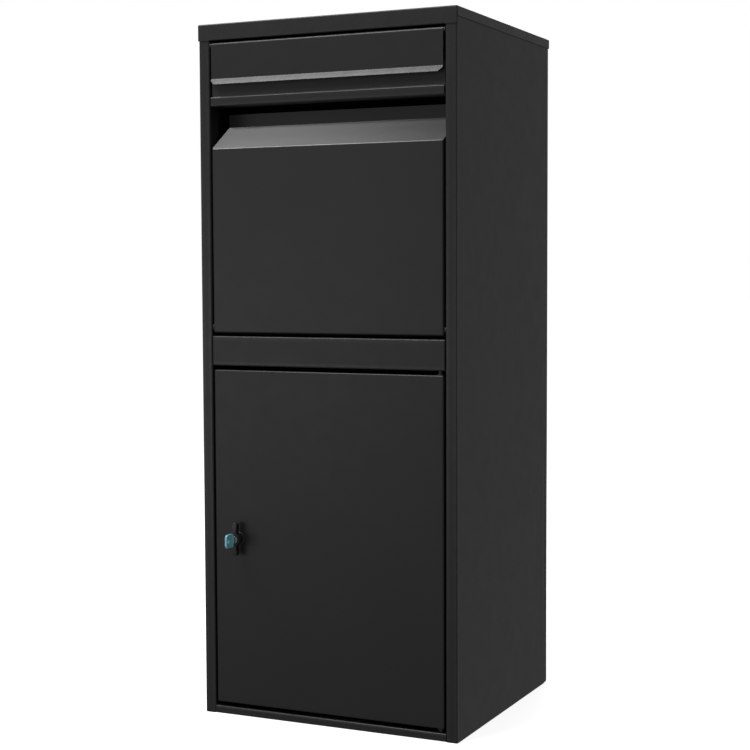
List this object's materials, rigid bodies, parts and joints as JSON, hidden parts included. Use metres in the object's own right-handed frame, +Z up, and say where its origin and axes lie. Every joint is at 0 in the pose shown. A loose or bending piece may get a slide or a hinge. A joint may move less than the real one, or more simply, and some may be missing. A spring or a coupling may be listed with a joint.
{
  "type": "parcel drop box",
  "caption": "Free-standing steel parcel drop box with a letter flap, a tilting parcel hopper with a grip recess, and a lockable lower door.",
  "frame": {"origin": "centre of the cabinet's footprint, on the floor it stands on", "axes": "+Z up, -Y out of the front, +X to the right when facing the front"},
  "size_m": [0.4124, 0.4207, 1.025],
  "materials": {
    "black_powder_coat": "fine-texture semi-matte black powder coat",
    "galvanised_sheet": "galvanised sheet steel with a fine spangle",
    "zinc_plated_steel": "bright zinc plated steel",
    "nickel_plate": "satin nickel plate",
    "black_nylon": "black nylon",
    "blackened_steel": "black oxide steel, lightly oiled",
    "black_rubber": "black rubber",
    "black_handle_plastic": "black glass-filled plastic, finely textured",
    "blue_key_plastic": "light blue moulded plastic"
  },
  "bodies": {
    "cabinet": {"left_side": "black_powder_coat", "right_side": "black_powder_coat", "back_panel": "black_powder_coat", "base_pan": "black_powder_coat", "top_lid": "black_powder_coat", "hood_rail": "black_powder_coat", "middle_rail": "black_powder_coat", "mail_chute": "black_powder_coat", "guard_plate": "galvanised_sheet", "shelf_nuts": "zinc_plated_steel", "door_stop": "black_powder_coat", "door_buffers": "black_rubber", "flap_buffers": "black_rubber", "floor_mat": "black_rubber", "flap_rod": "blackened_steel", "flap_spacers": "black_nylon", "pivot_bushes": "black_nylon", "stop_studs": "zinc_plated_steel", "stop_sleeves": "black_rubber", "door_pins": "blackened_steel"},
    "letter_flap": {"mail_flap": "black_powder_coat"},
    "hopper": {"hopper_front": "black_powder_coat", "grip_ramp": "black_powder_coat", "hopper_tray": "black_powder_coat", "left_cheek": "black_powder_coat", "right_cheek": "black_powder_coat", "hopper_pivots": "blackened_steel", "hopper_rivets": "zinc_plated_steel"},
    "door": {"door_skin": "black_powder_coat", "door_stiffener": "galvanised_sheet", "door_bushes": "black_nylon", "lock_rosette": "black_handle_plastic", "lock_barrel": "nickel_plate", "lock_nut": "zinc_plated_steel"},
    "handle": {"lock_handle": "black_handle_plastic", "lock_spindle": "zinc_plated_steel", "lock_cam": "zinc_plated_steel", "cam_screw": "zinc_plated_steel"},
    "plug": {"lock_plug": "nickel_plate"},
    "key": {"key_blade": "nickel_plate", "key_bow": "blue_key_plastic"}
  },
  "joints": [
    {"name": "flap_hinge", "type": "hinge", "parent": "cabinet", "child": "letter_flap", "pos_m": [0, -0.186, 0.994], "axis": [-1, 0, 0], "range_deg": [0, 75]},
    {"name": "hopper_hinge", "type": "hinge", "parent": "cabinet", "child": "hopper", "pos_m": [0, -0.183, 0.581], "axis": [1, 0, 0], "range_deg": [0, 45]},
    {"name": "door_hinge", "type": "hinge", "parent": "cabinet", "child": "door", "pos_m": [0.178, -0.184, 0.268], "axis": [0, 0, 1], "range_deg": [0, 110]},
    {"name": "handle_turn", "type": "hinge", "parent": "door", "child": "handle", "pos_m": [-0.1445, -0.19, 0.268], "axis": [0, 1, 0], "range_deg": [0, 90]},
    {"name": "plug_turn", "type": "hinge", "parent": "handle", "child": "plug", "pos_m": [-0.1445, -0.19, 0.268], "axis": [0, 1, 0], "range_deg": [0, 90]},
    {"name": "key_pull", "type": "slide", "parent": "plug", "child": "key", "axis": [0, -1, 0], "range_m": [0, 0.03]}
  ]
}
